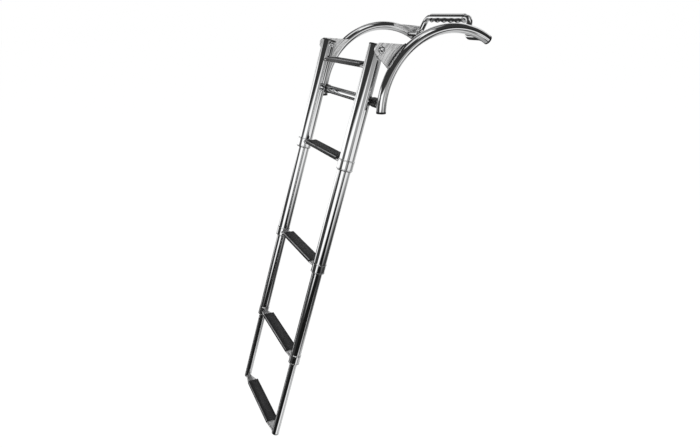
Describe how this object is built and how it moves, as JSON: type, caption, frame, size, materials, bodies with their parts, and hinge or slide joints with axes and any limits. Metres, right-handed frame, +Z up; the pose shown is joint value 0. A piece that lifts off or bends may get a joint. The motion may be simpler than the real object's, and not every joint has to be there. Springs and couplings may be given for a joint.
{
  "type": "telescopic boat ladder",
  "caption": "Telescoping boarding ladder hung from two hook arches that sit over an inflatable boat's side tube, with ribbed treads and a grab handle.",
  "frame": {"origin": "crown of the boat's side tube, midway between the two hook arches", "axes": "+X along the boat's side tube, +Y inboard over the tube, +Z up; the ladder hangs outboard, on the -Y side"},
  "size_m": [0.4, 0.6235, 1.1199],
  "materials": {
    "polished_steel": "mirror-polished stainless steel",
    "satin_steel": "satin stainless plate",
    "black_plastic": "moulded black plastic",
    "black_rubber": "ribbed black rubber"
  },
  "bodies": {
    "hook_frame": {"left_arch": "polished_steel", "left_arch_lower_cap": "black_plastic", "left_arch_tip_cap": "black_plastic", "left_bumper": "black_rubber", "left_pivot_plate": "satin_steel", "left_handle_gusset": "satin_steel", "right_arch": "polished_steel", "right_arch_lower_cap": "black_plastic", "right_arch_tip_cap": "black_plastic", "right_bumper": "black_rubber", "right_pivot_plate": "satin_steel", "right_handle_gusset": "satin_steel", "lower_cross_tube": "polished_steel", "grab_handle": "polished_steel", "handle_grip": "polished_steel"},
    "outer_section": {"left_pivot_bolt": "polished_steel", "left_outer_stile": "polished_steel", "left_top_cap": "black_plastic", "left_outer_collar": "polished_steel", "right_pivot_bolt": "polished_steel", "right_outer_stile": "polished_steel", "right_top_cap": "black_plastic", "right_outer_collar": "polished_steel", "top_tread_bar": "polished_steel", "top_tread_pad": "black_rubber", "second_tread_bar": "polished_steel", "second_tread_pad": "black_rubber"},
    "second_section": {"left_second_tube": "polished_steel", "left_second_collar": "polished_steel", "right_second_tube": "polished_steel", "right_second_collar": "polished_steel", "third_tread_bar": "polished_steel", "third_tread_pad": "black_rubber"},
    "third_section": {"left_third_tube": "polished_steel", "left_third_collar": "polished_steel", "right_third_tube": "polished_steel", "right_third_collar": "polished_steel", "fourth_tread_bar": "polished_steel", "fourth_tread_pad": "black_rubber"},
    "bottom_section": {"left_bottom_tube": "polished_steel", "left_foot_cap": "black_plastic", "right_bottom_tube": "polished_steel", "right_foot_cap": "black_plastic", "bottom_tread_bar": "polished_steel", "bottom_tread_pad": "black_rubber"}
  },
  "joints": [
    {"name": "ladder_swing", "type": "hinge", "parent": "hook_frame", "child": "outer_section", "pos_m": [0, -0.195, -0.036], "axis": [-1, 0, 0], "range_deg": [0, 230]},
    {"name": "second_section_slide", "type": "slide", "parent": "outer_section", "child": "second_section", "axis": [0, 0.2801, 0.96], "range_m": [0, 0.248]},
    {"name": "third_section_slide", "type": "slide", "parent": "second_section", "child": "third_section", "axis": [0, 0.2801, 0.96], "range_m": [0, 0.236]},
    {"name": "bottom_section_slide", "type": "slide", "parent": "third_section", "child": "bottom_section", "axis": [0, 0.2801, 0.96], "range_m": [0, 0.2]}
  ]
}
